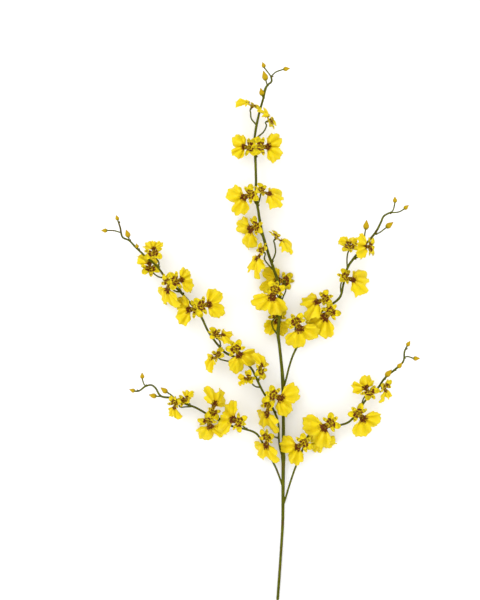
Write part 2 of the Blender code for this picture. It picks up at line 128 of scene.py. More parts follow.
# Scales of the noise in the finishes
LIP_PATCHES, TEPAL_PATCHES, BAR_WANDER, BLOTCH_RAGS, PETAL_GRAIN = 130.0, 260.0, 300.0, 420.0, 900.0
STEM_PATCHES, STEM_STREAKS, STEM_LUMPS, BUD_MOTTLE, BRACT_MOTTLE = 55.0, 700.0, 240.0, 700.0, 500.0
HEART_FRECKLES, HEART_GRAIN = 600.0, 1500.0
NOISE_ROUGHNESS = 0.55
SKIN_GLOSS, PETAL_GLOSS = 0.07, 0.10
LIGHT_THROUGH = {
    "Subsurface Weight": 0.12, "Subsurface Radius": (1.0, 0.75, 0.10), "Subsurface Scale": 0.0006,
}
FLOOR_WHITE, FLOOR_ROUGHNESS = 0.95, 0.9

# Soft lights: name, place in metres, size in metres, and the setting with their power
LIGHTS = (
    ("key_light", (-0.9, 0.9, 2.6), 2.2, "key_power"),
    ("fill_right", (2.2, -0.3, 1.7), 1.8, "fill_power"),
    ("fill_left", (-2.2, -0.9, 1.7), 1.8, "fill_power"),
)

# What a point of a stem's sketch stands for
PATH, BUD, BRACT = 0.0, 1.0, 2.0
# What a point of a bloom's sketch stands for
LIP, TEPAL, BUMP = 0.0, 1.0, 2.0

# Stems: across and down in steps, height and radius in millimetres. Branches start in the main stem's middle
MAIN_STEM = (
    (278, 603, 1.8, 1.75), (279.3, 585, 2.6, 1.75), (281.3, 555, 4.4, 1.75), (283, 525, 6.6, 1.9),
    (283.3, 495, 9.0, 2.1), (283.5, 466, 11.6, 2.3), (283.5, 458, 12.4, 2.75), (283.5, 450, 13.1, 2.1),
    (283.6, 425, 15.4, 1.85), (283.2, 395, 17.8, 1.8), (283, 383, 18.6, 2.2), (281.8, 367, 19.6, 1.75),
    (279.4, 345, 20.8, 1.65), (278, 333, 21.3, 1.9), (279.3, 320, 21.8, 1.6), (280.3, 304, 22.2, 1.6),
    (279.2, 287, 22.5, 1.7), (274.5, 271, 22.7, 1.5), (268.5, 254, 22.9, 1.45), (261.5, 230, 23.1, 1.6),
    (258.5, 212, 23.2, 1.4), (256, 196, 23.3, 1.35), (256, 178, 23.4, 1.3), (255.2, 155, 23.6, 1.4),
    (254.4, 142, 23.7, 1.2), (256, 128, 23.8, 1.35), (259.5, 112, 23.9, 1.15), (263.4, 98, 23.8, 1.15),
    (265, 90, 23.7, 1.4), (267.6, 85, 23.6, 1.0), (271.5, 81.5, 23.4, 0.95), (271, 76, 23.2, 0.85),
)
RIGHT_UPPER = (
    (283.1, 389, 18.2, 1.5),
    (285.75, 381, 19.0, 1.25), (289, 368, 20.2, 1.2), (292.4, 357, 21.2, 1.15), (297, 347, 21.8, 1.25),
    (304, 334, 20.6, 1.1), (312, 322, 19.8, 1.1), (320, 313, 20.2, 1.15), (331, 305, 22.4, 1.1),
    (340, 297, 24.2, 1.25), (343.2, 285, 25.0, 1.05), (347, 269, 25.4, 1.15), (353.6, 258.5, 25.4, 1.25),
    (365, 245, 24.8, 1.0), (375.5, 232.5, 24.0, 1.15), (380.6, 223, 23.6, 1.0), (384, 216, 23.2, 0.95),
    (391, 212.2, 22.8, 0.85),
)
RIGHT_LOWER = (
    (283.3, 507, 8.2, 1.5),
    (285.8, 499.5, 9.4, 1.25), (289.5, 487, 11.0, 1.2), (295, 470, 14.0, 1.15), (301, 455, 16.6, 1.1),
    (306.5, 440, 18.8, 1.2), (312, 433, 20.0, 1.1), (324, 428.3, 21.2, 1.05), (337, 425.8, 22.0, 1.1),
    (348, 422.6, 22.4, 1.1), (355, 415.5, 22.6, 1.05), (366, 400, 22.8, 1.1), (378, 388, 23.0, 1.15),
    (385, 378, 23.0, 1.0), (396, 368.8, 22.8, 1.1), (403.4, 361.5, 22.4, 0.9), (404.6, 352, 22.0, 0.85),
    (407, 346.5, 21.6, 0.8),
)
LEFT_UPPER = (
    (283.4, 459, 12.4, 1.5),
    (280.5, 450.5, 13.2, 1.25), (279.1, 440, 14.8, 1.2), (278.6, 425, 16.6, 1.2), (275, 413, 18.0, 1.25),
    (268.5, 401, 19.4, 1.15), (262, 390, 20.6, 1.15), (257, 379.5, 21.4, 1.2), (251, 368, 22.0, 1.1),
    (241, 360, 22.6, 1.15), (226, 353, 23.0, 1.15), (217.5, 344.5, 23.2, 1.1), (208, 331, 23.4, 1.05),
    (201, 316.5, 23.6, 1.15), (192, 305, 23.8, 1.05), (180, 291.5, 24.0, 1.1), (167, 279.5, 24.0, 1.1),
    (157, 266.5, 24.0, 1.05), (145, 256, 23.8, 0.95), (135.5, 247, 23.4, 0.95), (129, 240.4, 23.0, 0.85),
    (122.4, 237, 22.6, 0.9), (120.2, 228, 22.2, 0.8), (118, 221, 21.8, 0.75),
)
LEFT_LOWER = (
    (283.4, 489, 9.6, 1.5),
    (280.75, 481, 10.2, 1.2), (275, 466.5, 12.2, 1.15), (265.5, 449, 14.6, 1.15), (257, 434.6, 16.6, 1.15),
    (245, 429.5, 17.8, 1.05), (232, 426.5, 18.6, 1.05), (220, 421.2, 19.2, 1.1), (209, 415.5, 19.6, 1.05),
    (196, 408, 20.0, 1.05), (185, 404, 20.2, 1.0), (173, 398.4, 20.2, 1.0), (161, 396.4, 20.0, 1.0),
    (155.6, 388.5, 19.8, 0.85), (151, 385.2, 19.6, 0.85), (145, 386.7, 19.4, 0.85), (139, 391, 19.2, 0.75),
    (134.6, 391.4, 19.0, 0.7),
)
STEMS = {
    "main_stem": MAIN_STEM,
    "right_upper_branch": RIGHT_UPPER,
    "right_lower_branch": RIGHT_LOWER,
    "left_upper_branch": LEFT_UPPER,
    "left_lower_branch": LEFT_LOWER,
}

# Buds by stem: tip, base, then the thin stalk back to the stem, each across, down and height
BUDS = {
    "main_stem": (
        ((262.5, 62, 24), (264.3, 68, 24), (270, 75, 23.6), (271, 77.5, 23.3)),
        ((290, 68.5, 25), (283, 69.4, 24.6), (276, 72, 24), (271.6, 76, 23.4)),
        ((263.3, 71, 27), (266, 81, 25), (267.4, 86, 23.7)),
        ((260.6, 88, 25), (262.2, 96, 24.4), (263.6, 98.5, 23.9)),
    ),
    "right_upper_branch": (
        ((394.8, 196.5, 24), (395, 203, 23.6), (393.4, 209.5, 23), (391, 212.4, 22.8)),
        ((409, 205, 22), (404, 209.2, 22.2), (398.5, 212, 22.4), (390, 212.6, 22.8)),
        ((393.5, 222, 22), (386, 227.8, 22.6), (379.5, 232.6, 23.4), (375.5, 233.6, 24)),
        ((366.5, 220, 27), (365.5, 230, 26), (364.6, 236, 25.4), (366, 244, 24.8)),
    ),
    "right_lower_branch": (
        ((410.4, 341, 22), (407, 346.4, 21.7), (406, 349, 21.9)),
        ((420, 358.5, 23), (413, 358.4, 22.8), (408, 356.6, 22.4), (404.3, 357.5, 22.2)),
        ((402.4, 362.6, 24.6), (397.6, 368, 23.2), (394.6, 370, 22.8)),
        ((391.6, 369.6, 25), (385.6, 376.8, 23.6), (384, 379.2, 23)),
    ),
    "left_upper_branch": (
        ((116, 215, 22), (117.8, 220.4, 21.8), (118.6, 223, 21.9)),
        ((101, 230.5, 21), (107.4, 230.4, 21.4), (114, 230.6, 21.8), (120.8, 232.6, 22.3)),
        ((126, 229.6, 24), (128.8, 237.6, 23.4), (129.4, 241, 23)),
        ((136.2, 243.6, 25.6), (137.6, 248, 24), (138.4, 250, 23.6)),
    ),
    "left_lower_branch": (
        ((129, 389.6, 19), (135, 391.4, 19), (138, 391.3, 19.1)),
        ((142, 372.6, 21), (142, 379, 20.4), (143.6, 384, 19.8), (146, 386.5, 19.4)),
        ((148.6, 395, 19.4), (156.6, 396.6, 19.8), (161, 396.6, 20)),
        ((160.6, 387.6, 23), (167.4, 392.6, 21.8), (171.6, 395.6, 20.8), (175, 399, 20.2)),
    ),
}

# Blooms by stem, numbered in this order: heart across, down and height, lip heading, pitch and roll
# in degrees, lip length in steps, the stalk's way back to its stem and, unless it is open, how far open it is
BLOOMS = {
    "main_stem": (
        (252, 107, 30, 152, 4, 72, 17, ((250.6, 113), (251.4, 119), (256.6, 125))),
        (269, 121, 27.5, 114, 0, 68, 15, ((266.4, 126), (263, 132.6), (255.4, 138.6))),
        (249.6, 148, 31, 176, 8, 8, 19, ((253, 151), (255.2, 155))),
        (261.4, 147.4, 35, -2, 8, -6, 22, ((258.6, 152), (255.4, 157))),
        (250, 195, 31, 204, 10, 6, 24, ((253.6, 199.6), (256.2, 204))),
        (262, 192, 32.5, -22, 6, -52, 24, ((260, 198), (257.4, 206))),
        (256, 226, 23.3, 208, 36, 8, 26, ((259.4, 231.4), (262.8, 236))),
        (276, 238, 30, -34, 4, -72, 22, ((274.6, 244), (275.4, 253), (271.6, 262))),
        (262, 252, 33, 238, 6, 62, 26, ((264.4, 259), (268.6, 265), (274.2, 270.6))),
        (285, 281, 5.7, 172, 4, 160, 24, ((286, 290), (283.6, 296), (280.6, 304))),
        (274.6, 290, 39, 250, 10, -8, 27, ((278.4, 298), (280.4, 306))),
        (277.4, 316, 11.5, 266, -4, 176, 20, ((272, 322), (273.6, 329), (278, 335))),
    ),
    "right_upper_branch": (
        (296, 322, 36.5, 298, 12, 6, 27, ((295, 330), (294.6, 338), (297, 347))),
        (330, 312, 32, 226, 8, 6, 27, ((325, 313), (318.4, 315))),
        (324, 299.6, 28.5, 200, 6, 38, 25, ((327, 304), (330.6, 305.6))),
        (368, 247, 31, 176, -58, 4, 20, ((365, 253), (360, 256.6), (354, 258.4))),
        (349, 247, 34, 98, 38, 6, 15, ((347.4, 254), (346.8, 261), (347.4, 268))),
        (345.6, 278, 33, -16, 6, -40, 25, ((341.4, 282), (340.4, 288), (341.4, 293))),
    ),
    "right_lower_branch": (
        (384, 386, 30, 284, 12, -40, 15, ((382, 391), (378, 392), (374, 392.2)), 0.5),
        (368.6, 392, 32, 130, 22, 20, 19, ((365, 396), (362.6, 401), (362, 406))),
        (358, 413, 32, 312, 10, 4, 25, ((355, 416), (352, 419))),
        (330, 422.6, 32, 216, 8, 4, 28, ((334, 425), (338, 425.8))),
        (318.6, 437, 17.7, 296, 32, 8, 21, ((316, 434), (315.4, 431.6))),
        (303, 443, 30, 214, 12, 4, 24, ((304.4, 447), (303.8, 447.4))),
    ),
    "left_upper_branch": (
        (154, 253, 32, 92, 24, -6, 15, ((156, 258), (159, 263), (158, 268))),
        (150, 268, 22, 100, 20, 12, 17, ((153, 273), (159, 277), (165, 277.6))),
        (169, 283, 31, 264, 16, 48, 26, ((171.6, 288), (176, 291.4), (180, 291.6))),
        (176.6, 281, 43.5, 10, 20, -8, 19, ((178.6, 287), (183, 294.6))),
        (195.6, 309, 32, 186, 10, 6, 22, ((198, 312), (200.6, 315.8))),
        (202.4, 305.6, 38, 10, 8, 0, 23, ((202, 311), (200.2, 315))),
        (217, 335, 32, -6, 8, -52, 18, ((219, 339.6), (220.4, 344), (219, 346.4))),
        (217.6, 356, 31, 212, 10, 56, 17, ((223, 360), (231, 361.4), (240, 359.6))),
        (236, 349, 33, 300, 10, -4, 24, ((240, 353.6), (243.4, 357.6), (245.6, 363.4))),
        (260, 370, 30, 78, 14, 50, 17, ((260, 376), (257.6, 380.6))),
        (248.6, 378, 29, 190, 10, 20, 11, ((251.4, 383), (255.6, 386.6), (260.6, 387.4)), 0.5),
        (273.6, 395, 31, 336, 8, 0, 26, ((271, 399.6), (269, 402))),
        (268.6, 406, 27, 262, 12, 50, 27, ((272.6, 409), (275.4, 413.8))),
        (267.4, 438, 26, 264, 14, 42, 26, ((273.6, 437), (279, 439))),
    ),
    "left_lower_branch": (
        (239, 421, 44, 158, 34, 0, 27, ((242.4, 425), (246.4, 429.8))),
        (212.4, 411, 30, 76, 8, 44, 25, ((215, 414), (219, 418), (223, 422.6))),
        (208, 421, 19.5, 290, 26, 14, 24, ((210, 418.6), (211.6, 417))),
        (186, 400, 28, 70, 20, -30, 11, ((187, 403), (189.6, 405.6)), 0.5),
        (175.6, 403, 27, 258, 10, 40, 16, ((180, 407), (186, 407), (192, 406.6)), 0.5),
    ),
}


Bloom = namedtuple("Bloom", "across down height heading pitch roll steps way opened", defaults=(1.0,))


class Graph:
    """A node tree in the making, with short calls for its nodes and links."""

    def __init__(self, tree):
        self.tree = tree

    def feed(self, socket, value):
        """Links a value from another node, or sets a plain one."""
        if isinstance(value, bpy.types.NodeSocket):
            self.tree.links.new(value, socket)
        else:
            socket.default_value = value

    def node(self, kind, inputs=None, out=0, **settings):
        """Adds a node, sets or links its inputs and returns one of its outputs."""
        made = self.tree.nodes.new(kind)
        for key, value in settings.items():
            setattr(made, key, value)
        for key, value in (inputs or {}).items():
            self.feed(made.inputs[key], value)
        return made.outputs[out]

    def math(self, operation, *terms):
        return self.node("ShaderNodeMath", dict(enumerate(terms)), operation=operation)

    def plus(self, first, second):
        return self.math("ADD", first, second)

    def minus(self, first, second):
        return self.math("SUBTRACT", first, second)

    def times(self, first, second):
        return self.math("MULTIPLY", first, second)

    def vector(self, x=0.0, y=0.0, z=0.0):
        return self.node("ShaderNodeCombineXYZ", {0: x, 1: y, 2: z})

    def split(self, vector):
        """The three parts of a vector."""
        return tuple(self.node("ShaderNodeSeparateXYZ", {0: vector}).node.outputs)

    def step(self, value, low, high, to_low=0.0, to_high=1.0):
        """A smooth change from one value to another as the input goes from low to high."""
        terms = {"Value": value, "From Min": low, "From Max": high, "To Min": to_low, "To Max": to_high}
        return self.node("ShaderNodeMapRange", terms, interpolation_type="SMOOTHSTEP")


class ShapeGraph(Graph):
    """A Geometry Nodes tree whose inputs are a sketch and named settings."""

    def __init__(self, name, settings):
        super().__init__(bpy.data.node_groups.new(name, "GeometryNodeTree"))
        self.settings, self.sockets = settings, {}
        self.add_socket("Sketch", "INPUT", "Geometry")
        kinds = {int: "Int", float: "Float"}
        for label, value in settings.items():
            socket = self.add_socket(label, "INPUT", kinds.get(type(value), "Material"))
            socket.default_value = value
            self.sockets[label] = socket.identifier
        self.add_socket("Result", "OUTPUT", "Geometry")
        self.entry = self.tree.nodes.new("NodeGroupInput")

    def add_socket(self, label, in_out, kind):
        return self.tree.interface.new_socket(name=label, in_out=in_out, socket_type="NodeSocket" + kind)

    def given(self, label):
        return self.entry.outputs[label]

    def named(self, name, kind="FLOAT"):
        return self.node("GeometryNodeInputNamedAttribute", {"Name": name}, data_type=kind)

    def spot(self):
        return self.node("GeometryNodeInputPosition")

    def only(self, role):
        """The points of the sketch that stand for one thing."""
        gap = self.math("ABSOLUTE", self.minus(self.named("role"), role))
        near = self.node("FunctionNodeCompare", {0: gap, 1: 0.5}, operation="LESS_THAN", data_type="FLOAT")
        terms = {"Geometry": self.given("Sketch"), "Selection": near}
        return self.node("GeometryNodeSeparateGeometry", terms, domain="POINT")

    def store(self, geometry, name, value, kind="FLOAT_VECTOR"):
        terms = {"Geometry": geometry, "Name": name, "Value": value}
        return self.node("GeometryNodeStoreNamedAttribute", terms, data_type=kind, domain="POINT")

    def placed(self, geometry, position):
        return self.node("GeometryNodeSetPosition", {"Geometry": geometry, "Position": position})

    def moved(self, geometry, offset):
        return self.node("GeometryNodeSetPosition", {"Geometry": geometry, "Offset": offset})

    def copies(self, points, body, rotation):
        """A copy of a body on each point, to its size."""
        size = self.named("size", "FLOAT_VECTOR")
        terms = {"Points": points, "Instance": body, "Rotation": rotation, "Scale": size}
        return self.node("GeometryNodeInstanceOnPoints", terms)

    def aimed(self, points, body):
        """A copy of a body on each point, along its aim."""
        aim = {"Vector": self.named("aim", "FLOAT_VECTOR")}
        return self.copies(points, body, self.node("FunctionNodeAlignRotationToVector", aim, axis="Z"))

    def join(self, *pieces):
        made = self.tree.nodes.new("GeometryNodeJoinGeometry")
        for piece in pieces:
            self.tree.links.new(piece, made.inputs[0])
        return made.outputs[0]

    def thicken(self, sheet):
        """A closed shell over an open sheet."""
        terms = {"Mesh": sheet, "Offset Scale": self.given("Thickness"), "Individual": False}
        top = self.node("GeometryNodeExtrudeMesh", terms)
        under = self.node("GeometryNodeFlipFaces", {"Mesh": sheet})
        both = self.join(top, under)
        return self.node("GeometryNodeMergeByDistance", {"Geometry": both, "Distance": MERGE_GAP})

    def material(self, geometry, label):
        return self.node("GeometryNodeSetMaterial", {"Geometry": geometry, "Material": self.given(label)})

    def end(self, geometry):
        """Closes the tree with smooth faces and its copies made real."""
        real = self.node("GeometryNodeRealizeInstances", {"Geometry": geometry})
        smooth = self.node("GeometryNodeSetShadeSmooth", {"Geometry": real})
        self.tree.links.new(smooth, self.tree.nodes.new("NodeGroupOutput").inputs[0])
        return self

    def shape(self, name, sketch, **changed):
        """Runs the tree on a sketch and returns the plain mesh that it makes."""
        holder = bpy.data.objects.new(name + "_sketch", sketch.mesh(name + "_sketch"))
        bpy.context.scene.collection.objects.link(holder)
        modifier = holder.modifiers.new(self.tree.name, "NODES")
        modifier.node_group = self.tree
        for label, value in {**self.settings, **changed}.items():
            modifier[self.sockets[label]] = value
        bpy.context.view_layer.update()
        evaluated = holder.evaluated_get(bpy.context.evaluated_depsgraph_get())
        mesh = bpy.data.meshes.new_from_object(evaluated)
        holder.modifiers.clear()
        bpy.data.objects.remove(holder, do_unlink=True)
        return mesh


class Sketch:
    """Points with named values for a shape tree to read, gathered one by one."""

    def __init__(self, **blank):
        self.blank = blank
        self.points, self.edges, self.faces = [], [], []
        self.values = {key: [] for key in blank}

    def add(self, point, **given):
        """Adds a point, with the blank value for what isn't given."""
        self.points.append(tuple(point))
        for key, numbers in self.values.items():
            numbers.append(given.get(key, self.blank[key]))

    def path(self, points, radii):
        first = len(self.points)
        for point, radius in zip(points, radii):
            self.add(point, thickness=radius)
        self.edges += [(i, i + 1) for i in range(first, len(self.points) - 1)]

    def mesh(self, name):
        mesh = bpy.data.meshes.new(name)
        mesh.from_pydata(self.points, self.edges, self.faces)
        for key, numbers in self.values.items():
            numbers = np.asarray(numbers, dtype=np.float32)
            kind, slot = ("FLOAT", "value") if numbers.ndim == 1 else ("FLOAT_VECTOR", "vector")
            mesh.attributes.new(key, kind, "POINT").data.foreach_set(slot, numbers.ravel())
        return mesh


def place(across, down, height):
    """A spot on the drawing grid, in metres."""
    return Vector(((across - ACROSS_ZERO) * STEP, (DOWN_ZERO - down) * STEP, height * MM))


def stem_height_at(route, across, down):
    """Height of a stem's axis nearest to this place on the grid."""
    spot, found = Vector((across, down)), []
    for a, b in zip(route, route[1:]):
        start, run = Vector(a[:2]), Vector(b[:2]) - Vector(a[:2])
        share = max(0.0, min(1.0, (spot - start).dot(run) / run.length_squared))
        found.append(((start + run * share - spot).length, a[2] + (b[2] - a[2]) * share))
    return min(found, key=lambda each: each[0])[1]


def turning(bloom):
    """Turns the bloom's own axes: lip along +x, face along +z."""
    about_z = Matrix.Rotation(math.radians(bloom.heading), 4, "Z")
    about_y = Matrix.Rotation(math.radians(bloom.pitch), 4, "Y")
    return about_z @ about_y @ Matrix.Rotation(math.radians(bloom.roll), 4, "X")


def stalk_points(bloom, route):
    """The way of a flower stalk, from just behind the heart to its stem."""
    facing = turning(bloom) @ Vector((0, 0, 1))
    end = place(bloom.across, bloom.down, bloom.height) - facing * (HEART_HEIGHT + SEAT_GAP)
    before = end - facing * STALK_STRAIGHT
    points = [end + facing * STALK_IN_HEART, before]
    root_height = stem_height_at(route, *bloom.way[-1])
    for number, (x, y) in enumerate(bloom.way):
        share = (number + 1) / len(bloom.way)
        points.append(place(x, y, before.z / MM * (1 - share) + root_height * share))
    return points


def finished(name, mesh, node):
    """Shows a mesh as a finished piece in place of its node."""
    mesh.name = name
    piece = bpy.data.objects.new(name, mesh)
    bpy.context.scene.collection.objects.link(piece)
    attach(piece, "root")
    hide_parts(node)


# Finishes


class FinishGraph(Graph):
    """The nodes of a material on Object coordinates."""

    def __init__(self, name):
        self.made = bpy.data.materials.new(name)
        self.made.use_nodes = True
        super().__init__(self.made.node_tree)
        self.shader = self.tree.nodes["Principled BSDF"].inputs
        self.where = self.node("ShaderNodeTexCoord", out=3)

    def number(self, name):
        """A number that the mesh carries."""
        return self.node("ShaderNodeAttribute", out=2, attribute_name=name)

    def parts(self, name):
        """The three parts of a vector that the mesh carries."""
        return self.split(self.node("ShaderNodeAttribute", out=1, attribute_name=name))

    def noise(self, scale, detail=3.0, where=None):
        where = self.where if where is None else where
        terms = {"Vector": where, "Scale": scale, "Detail": detail, "Roughness": NOISE_ROUGHNESS}
        return self.node("ShaderNodeTexNoise", terms)

    def mix(self, share, first, second):
        """A mix of two colours by a share."""
        terms = {0: share}
        for key, colour in ((6, first), (7, second)):
            terms[key] = colour if isinstance(colour, bpy.types.NodeSocket) else (*colour, 1.0)
        return self.node("ShaderNodeMix", terms, out=2, data_type="RGBA")

    def oval(self, along, aside, middle, long, wide):
        """How far from an oval's middle a place on the lip is, with 1 at its edge."""
        span = self.math("POWER", self.math("DIVIDE", self.minus(along, middle), long), 2.0)
        side = self.math("POWER", self.math("DIVIDE", aside, wide), 2.0)
        return self.math("SQRT", self.plus(span, side))

    def skin(self, colour, rough, height, strength, distance, gloss=SKIN_GLOSS):
        """Gives the shader its colour, the low gloss of plant skin and a bump from a height."""
        self.feed(self.shader["Base Color"], colour)
        self.feed(self.shader["Roughness"], rough)
        self.feed(self.shader["Specular IOR Level"], gloss)
        bump = self.node("ShaderNodeBump", {"Height": height, "Strength": strength, "Distance": distance})
        self.feed(self.shader["Normal"], bump)
        return self.made

    def petal_skin(self, colour, grain, height, strength, distance):
        """A waxy skin that lets some light through."""
        for key, value in LIGHT_THROUGH.items():
            self.feed(self.shader[key], value)
        rough = self.step(grain, 0.3, 0.7, 0.42, 0.6)
        return self.skin(colour, rough, height, strength, distance, PETAL_GLOSS)


def lip_finish(colours):
    """Bright yellow lip with fine veins, a red-brown blotch at its waist, painted olive shade in its folds
    and round its waist, and painted highlights on its fold ridges.
    """
    g = FinishGraph("lip_yellow")
    along, aside, rim = g.parts("place")
    broad, fine = g.noise(LIP_PATCHES), g.noise(PETAL_GRAIN, 5.0)
    yellow = g.mix(g.step(broad, 0.35, 0.68), colours.petal, colours.petal_gold)
    yellow = g.mix(g.times(g.step(rim, 0.72, 1.0), 0.35), yellow, colours.petal_pale_and_highlight)
    # Painted shade: olive in the folds' valleys; painted highlight: pale yellow on their ridges
    fold = g.plus(g.number("fold"), g.times(g.minus(broad, 0.5), 3.4))
    yellow = g.mix(g.step(fold, -1.3, 0.1, 0.42, 0.0), yellow, colours.petal_olive_and_shade)
    yellow = g.mix(g.step(fold, 0.5, 1.4, 0.0, 0.6), yellow, colours.petal_pale_and_highlight)
    # Painted shade: olive round the waist
    waist = g.plus(g.oval(along, aside, *OLIVE_OVAL), g.times(broad, 0.3))
    yellow = g.mix(g.step(waist, 0.5, 1.35, 0.62, 0.0), yellow, colours.petal_olive_and_shade)
    # Blotch with a ragged edge
    ragged = g.times(g.minus(g.noise(BLOTCH_RAGS), 0.56), 3.0)
    ring = g.plus(g.oval(along, aside, *BLOTCH_OVAL), ragged)
    yellow = g.mix(g.step(ring, 1.0, 1.75, 0.55, 0.0), yellow, colours.blotch_edge)
    colour = g.mix(g.step(ring, 0.85, 1.15, 1.0, 0.0), yellow, colours.blotch)
    # Veins that fan out from the waist
    turn = g.math("ARCTAN2", aside, g.minus(along, 0.2))
    veins = g.math("SINE", g.times(turn, VEINS))
    return g.petal_skin(colour, fine, g.plus(g.times(veins, 0.25), fine), 0.35, 0.0004)


def tepal_finish(colours):
    """Yellow tepal with red-brown bars from its base, more of them on the narrow sepals."""
    g = FinishGraph("tepal_barred")
    along, aside, sepal = g.parts("place")
    broad, fine = g.noise(TEPAL_PATCHES), g.noise(PETAL_GRAIN, 4.0)
    yellow = g.mix(g.step(broad, 0.35, 0.68), colours.petal, colours.petal_olive_and_shade)
    warm = g.step(along, 0.1, 0.62, 0.62, 0.0)
    yellow = g.mix(g.times(warm, g.step(broad, 0.3, 0.6)), yellow, colours.blotch_edge)
    # Wavy bars that fade out along the blade and at its sides
    wander = g.times(g.noise(BAR_WANDER, 2.0), 6.5)
    bars = g.math("SINE", g.plus(g.times(along, 13.0), wander))
    reach = g.plus(g.times(sepal, 0.16), 0.66)
    fade = g.step(g.minus(along, reach), -0.16, 0.06, 1.0, 0.0)
    edge = g.step(g.math("ABSOLUTE", aside), 0.70, 0.98, 1.0, 0.25)
    amount = g.times(g.times(g.step(bars, -0.35, 0.2), fade), edge)
    return g.petal_skin(g.mix(amount, yellow, colours.blotch), fine, fine, 0.3, 0.0003)


def heart_finish(colours):
    """Column and callus: olive yellow, freckled with red-brown."""
    g = FinishGraph("heart_freckled")
    freckles = g.step(g.noise(HEART_FRECKLES, 2.0), 0.42, 0.52)
    colour = g.mix(freckles, colours.petal_olive_and_shade, colours.blotch)
    return g.skin(colour, 0.4, g.noise(HEART_GRAIN), 0.3, 0.0002)


def stem_finish(colours):
    """Dark olive stem with lighter streaks and brown patches."""
    g = FinishGraph("stem_olive")
    stretched = g.node("ShaderNodeMapping", {"Vector": g.where, "Scale": (1.0, 0.18, 1.0)})
    streaks, patches = g.noise(STEM_STREAKS, 4.0, stretched), g.noise(STEM_PATCHES, 2.0)
    green = g.mix(g.step(streaks, 0.35, 0.7), colours.stem, colours.stem_light)
    colour = g.mix(g.step(patches, 0.55, 0.72, 0.0, 0.75), green, colours.stem_brown)
    return g.skin(colour, g.step(streaks, 0.3, 0.7, 0.4, 0.62), streaks, 0.4, 0.0003)


def bud_finish(colours):
    """Ochre bud, olive at its base and brown at its tip."""
    g = FinishGraph("bud_ochre")
    along, mottle = g.number("along"), g.noise(BUD_MOTTLE)
    gold = g.mix(g.step(mottle, 0.4, 0.66), colours.bud, colours.petal_olive_and_shade)
    gold = g.mix(g.step(along, 0.0, 0.35, 0.85, 0.0), gold, colours.stem_light)
    colour = g.mix(g.step(along, 0.8, 1.0, 0.0, 0.6), gold, colours.blotch)
    return g.skin(colour, 0.45, mottle, 0.35, 0.0003)


def bract_finish(colours):
    """Papery bract, dark olive to brown."""
    g = FinishGraph("bract_papery")
    mottle = g.noise(BRACT_MOTTLE, 4.0)
    colour = g.mix(g.step(mottle, 0.38, 0.62), colours.stem, colours.stem_brown)
    return g.skin(colour, 0.7, mottle, 0.5, 0.0003)


# Stems


def stem_tree(settings):
    """Shape tree of a stem: round rods along the sketch's paths, and a bud or bract on each marked point."""
    g = ShapeGraph("Stem with buds", settings)
    curve = g.node("GeometryNodeMeshToCurve", {"Mesh": g.only(PATH)})
    curve = g.node("GeometryNodeCurveSplineType", {"Curve": curve}, spline_type="CATMULL_ROM")
    curve = g.node("GeometryNodeResampleCurve", {"Curve": curve, "Length": g.given("Step")}, mode="LENGTH")
    ring = g.node("GeometryNodeCurvePrimitiveCircle", {"Resolution": g.given("Sides"), "Radius": 1.0})
    terms = {"Curve": curve, "Profile Curve": ring, "Scale": g.named("thickness"), "Fill Caps": True}
    rod = g.node("GeometryNodeCurveToMesh", terms)
    lumps = g.minus(g.node("ShaderNodeTexNoise", {"Vector": g.spot(), "Scale": STEM_LUMPS}), 0.5)
    terms = {0: g.node("GeometryNodeInputNormal"), "Scale": g.times(lumps, g.given("Grain"))}
    rod = g.material(g.moved(rod, g.node("ShaderNodeVectorMath", terms, operation="SCALE")), "Stem")
    body = pointed_body(g)
    buds = g.material(g.aimed(g.only(BUD), body), "Bud")
    bracts = g.material(g.aimed(g.only(BRACT), body), "Bract")
    return g.end(g.join(rod, buds, bracts))


def pointed_body(g):
    """A unit bud along +z: plump below its middle, pointed at its end, with three soft ridges."""
    ball = g.node("GeometryNodeMeshUVSphere", {"Segments": 18, "Rings": 12, "Radius": 1.0})
    x, y, z = g.split(g.spot())
    along = g.math("MULTIPLY_ADD", z, 0.5, 0.5)
    ridge = g.math("COSINE", g.times(g.math("ARCTAN2", y, x), 3.0))
    girth = g.times(g.math("MULTIPLY_ADD", ridge, 0.05, 1.0), g.step(along, 0.25, 1.0, 1.0, 0.38))
    stored = g.store(ball, "along", along, "FLOAT")
    return g.placed(stored, g.vector(g.times(x, girth), g.times(y, girth), along))


def stem_sketch(name, fullness):
    """Paths, buds and bracts of one stem and its flower stalks."""
    sketch = Sketch(role=PATH, thickness=0.0, aim=(0, 0, 1), size=(1, 1, 1))
    route = STEMS[name]
    # The stem gains its fullness over its first third
    radii = [spot[3] * MM + fullness * min(1.0, 3.0 * k / len(route)) for k, spot in enumerate(route)]
    sketch.path([place(*spot[:3]) for spot in route], radii)
    for tip, base, *way in BUDS[name]:
        tip, base = place(*tip), place(*base)
        length = (tip - base).length
        half = length * BUD_GIRTH + BUD_LEAST
        sketch.add(base, role=BUD, aim=tuple(tip - base), size=(half, half, length))
        line = [tip.lerp(base, STALK_IN_BUD)] + [place(*spot) for spot in way]
        sketch.path(line, [STALK_RADIUS * AT_BUD] * len(line))
        add_bract(sketch, line[-1], line[-2], BUD_BRACT)
    for row in BLOOMS[name]:
        line = stalk_points(Bloom(*row), route)
        shares = [AT_HEART] + [1.0] * (len(line) - 2) + [AT_ROOT]
        sketch.path(line, [STALK_RADIUS * share for share in shares])
        add_bract(sketch, line[-1], line[-2], BLOOM_BRACT)
    return sketch


def add_bract(sketch, root, towards, length):
    """A small pointed bract beside the root of a stalk."""
    aim = (towards - root).normalized()
    side = Vector((aim.y, -aim.x, 0.0)).normalized()
    spot = root + side * BRACT_ASIDE - aim * BRACT_BACK
    sketch.add(spot, role=BRACT, aim=tuple(aim + side * BRACT_LEAN), size=(*BRACT_GIRTH, length))


# Blooms


